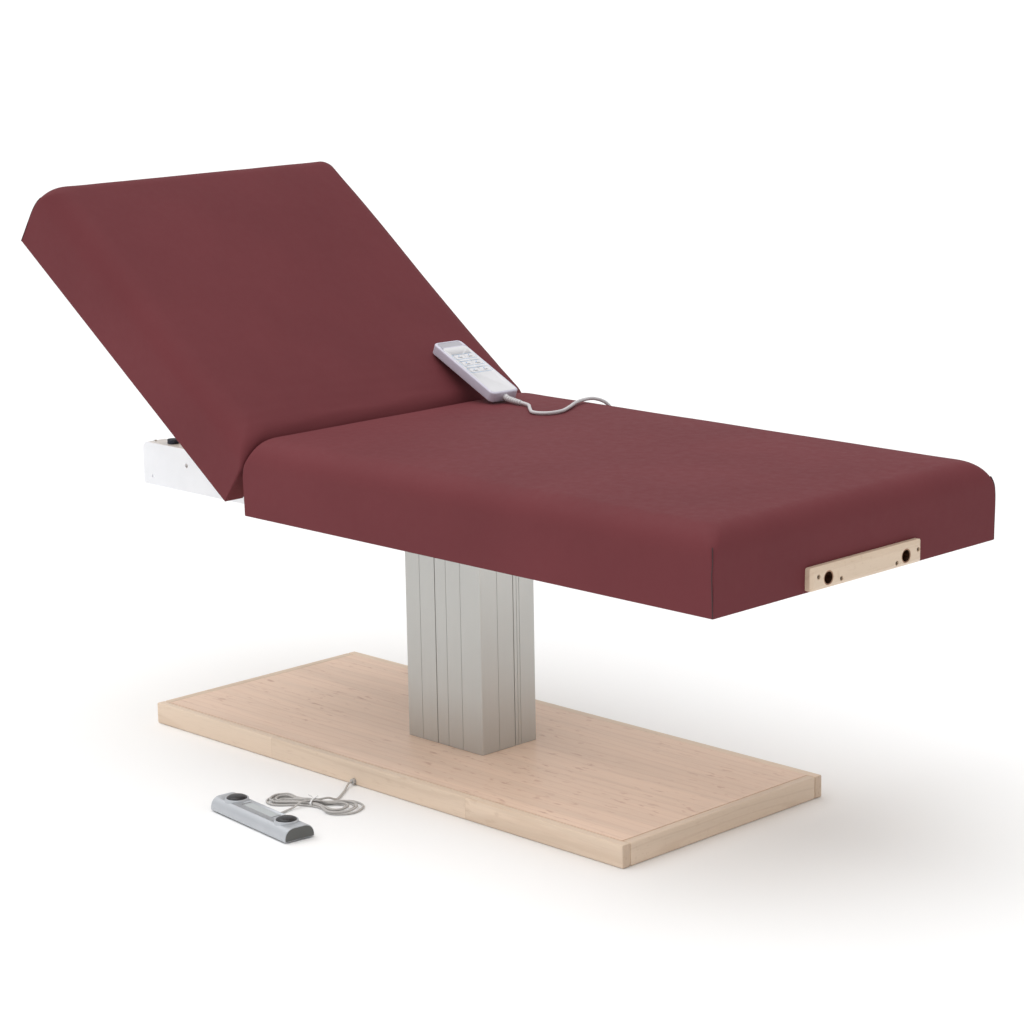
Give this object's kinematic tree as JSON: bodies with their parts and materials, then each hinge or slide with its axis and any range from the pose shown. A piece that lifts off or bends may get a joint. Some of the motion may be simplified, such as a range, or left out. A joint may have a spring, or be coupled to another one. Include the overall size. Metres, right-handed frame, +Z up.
{
  "type": "electric pedestal massage table",
  "caption": "Padded treatment table on a telescopic lift column and framed wooden base, with a powered lift-back, wired handset and foot switch.",
  "frame": {"origin": "on the floor, under the middle of the lift column, on the base's flat underside", "axes": "+X along the table to the foot end, +Z up, and the long side with the foot switch faces -Y"},
  "size_m": [1.8824, 0.9807, 1.0988],
  "materials": {
    "maple_veneer": "satin lacquer, fine fleck",
    "maple_rail": "satin lacquer",
    "anodised_aluminium": "satin anodised, brushed along the profile",
    "guide_plastic": "moulded",
    "zinc_steel": "zinc plated",
    "motor_black": "black paint",
    "white_powder_coat": "white powder coat",
    "bumper_rubber": "moulded rubber",
    "frame_pine": "planed, unfinished",
    "birch_plywood": "sanded, unfinished",
    "burgundy_vinyl": "soft upholstery vinyl, fine grain",
    "maple_plate": "satin lacquer",
    "socket_bronze": "darkened",
    "black_steel": "black finish",
    "bright_steel": "ground",
    "black_plastic": "moulded",
    "handset_shell": "smooth moulded",
    "handset_face": "membrane film",
    "cord_grey": "smooth jacket",
    "cord_thin_grey": "smooth jacket",
    "silver_plastic": "fine satin texture",
    "button_black": "smooth domes"
  },
  "bodies": {
    "base": {"base_panel": "maple_veneer", "base_rail_front": "maple_rail", "base_rail_rear": "maple_rail", "base_rail_head": "maple_rail", "base_rail_foot": "maple_rail", "column_foot_plate": "zinc_steel", "column_outer": "anodised_aluminium", "outer_stage_guide": "guide_plastic", "lift_motor": "motor_black", "foot_switch_housing": "silver_plastic", "foot_switch_pad": "button_black", "foot_switch_gland": "button_black", "foot_switch_cord_lead": "cord_thin_grey", "foot_switch_hank": "cord_thin_grey", "cord_tie": "handset_face", "foot_switch_cord_tail": "cord_thin_grey"},
    "lift_stage": {"column_middle": "anodised_aluminium", "middle_stage_guide": "guide_plastic", "lift_middle_tube": "zinc_steel"},
    "table_top": {"column_inner": "anodised_aluminium", "lift_push_tube": "zinc_steel", "top_mounting_plate": "zinc_steel", "frame_rail_front": "white_powder_coat", "frame_rail_rear": "white_powder_coat", "frame_cross_head": "white_powder_coat", "frame_cross_middle": "white_powder_coat", "backrest_bumper_front": "bumper_rubber", "backrest_bumper_rear": "bumper_rubber", "seat_frame": "frame_pine", "seat_deck": "birch_plywood", "seat_pad": "burgundy_vinyl", "outlet_plate": "maple_plate", "peg_socket_front": "socket_bronze", "peg_socket_rear": "socket_bronze", "hinge_seat_leaf_front": "black_steel", "hinge_seat_leaf_rear": "black_steel", "actuator_tube": "bright_steel", "actuator_motor": "black_plastic", "control_box": "black_plastic", "mains_inlet": "black_plastic", "handset_socket": "black_plastic", "handset_cord": "cord_grey"},
    "backrest": {"backrest_frame": "frame_pine", "backrest_deck": "birch_plywood", "backrest_pad": "burgundy_vinyl", "hinge_back_leaf_front": "black_steel", "hinge_back_leaf_rear": "black_steel", "lift_lever": "black_steel"},
    "actuator_rod": {"actuator_rod": "bright_steel"},
    "handset_tail": {"handset_strain_relief": "cord_grey"},
    "handset": {"handset_back_shell": "handset_shell", "handset_front_shell": "handset_shell"},
    "handset_button_1": {"handset_button_1": "handset_face"},
    "handset_button_2": {"handset_button_2": "handset_face"},
    "handset_button_3": {"handset_button_3": "handset_face"},
    "handset_button_4": {"handset_button_4": "handset_face"},
    "handset_button_5": {"handset_button_5": "handset_face"},
    "handset_button_6": {"handset_button_6": "handset_face"},
    "foot_button_up": {"foot_button_up": "button_black"},
    "foot_button_down": {"foot_button_down": "button_black"}
  },
  "joints": [
    {"name": "lift_stage_slide", "type": "slide", "parent": "base", "child": "lift_stage", "axis": [0, 0, 1], "range_m": [0, 0.165]},
    {"name": "top_slide", "type": "slide", "parent": "lift_stage", "child": "table_top", "axis": [0, 0, 1], "range_m": [0, 0.165]},
    {"name": "backrest_recline", "type": "hinge", "parent": "table_top", "child": "backrest", "pos_m": [-0.222, 0, 0.599], "axis": [0, 1, 0], "range_deg": [-35.8, 39.2]},
    {"name": "actuator_extend", "type": "slide", "parent": "table_top", "child": "actuator_rod", "axis": [-1, 0, 0], "range_m": [-0.0592, 0.0648]},
    {"name": "handset_slide", "type": "slide", "parent": "table_top", "child": "handset_tail", "axis": [1, 0, 0], "range_m": [-0.0564, 0.0617], "deforming": ["handset_cord"]},
    {"name": "handset_tip", "type": "hinge", "parent": "handset_tail", "child": "handset", "pos_m": [-0.11134, 0.21463, 0.68096], "axis": [0.0998, 0.995, 0], "range_deg": [-20.78, 22.75]},
    {"name": "handset_button_1_press", "type": "slide", "parent": "handset", "child": "handset_button_1", "axis": [-0.3849, 0.0386, -0.9221], "range_m": [0, 0.0005], "stiffness_N_per_m": 600},
    {"name": "handset_button_2_press", "type": "slide", "parent": "handset", "child": "handset_button_2", "axis": [-0.3849, 0.0386, -0.9221], "range_m": [0, 0.0005], "stiffness_N_per_m": 600},
    {"name": "handset_button_3_press", "type": "slide", "parent": "handset", "child": "handset_button_3", "axis": [-0.3849, 0.0386, -0.9221], "range_m": [0, 0.0005], "stiffness_N_per_m": 600},
    {"name": "handset_button_4_press", "type": "slide", "parent": "handset", "child": "handset_button_4", "axis": [-0.3849, 0.0386, -0.9221], "range_m": [0, 0.0005], "stiffness_N_per_m": 600},
    {"name": "handset_button_5_press", "type": "slide", "parent": "handset", "child": "handset_button_5", "axis": [-0.3849, 0.0386, -0.9221], "range_m": [0, 0.0005], "stiffness_N_per_m": 600},
    {"name": "handset_button_6_press", "type": "slide", "parent": "handset", "child": "handset_button_6", "axis": [-0.3849, 0.0386, -0.9221], "range_m": [0, 0.0005], "stiffness_N_per_m": 600},
    {"name": "foot_button_up_press", "type": "slide", "parent": "base", "child": "foot_button_up", "axis": [0, 0, -1], "range_m": [0, 0.004], "stiffness_N_per_m": 800},
    {"name": "foot_button_down_press", "type": "slide", "parent": "base", "child": "foot_button_down", "axis": [0, 0, -1], "range_m": [0, 0.004], "stiffness_N_per_m": 800}
  ],
  "couplings": [
    {"joint": "lift_stage_slide", "follows": "top_slide", "ratio": 1},
    {"joint": "actuator_extend", "follows": "backrest_recline", "m_per_rad": 0.0945},
    {"joint": "handset_slide", "follows": "backrest_recline", "m_per_rad": 0.09},
    {"joint": "handset_tip", "follows": "backrest_recline", "ratio": 0.58}
  ]
}
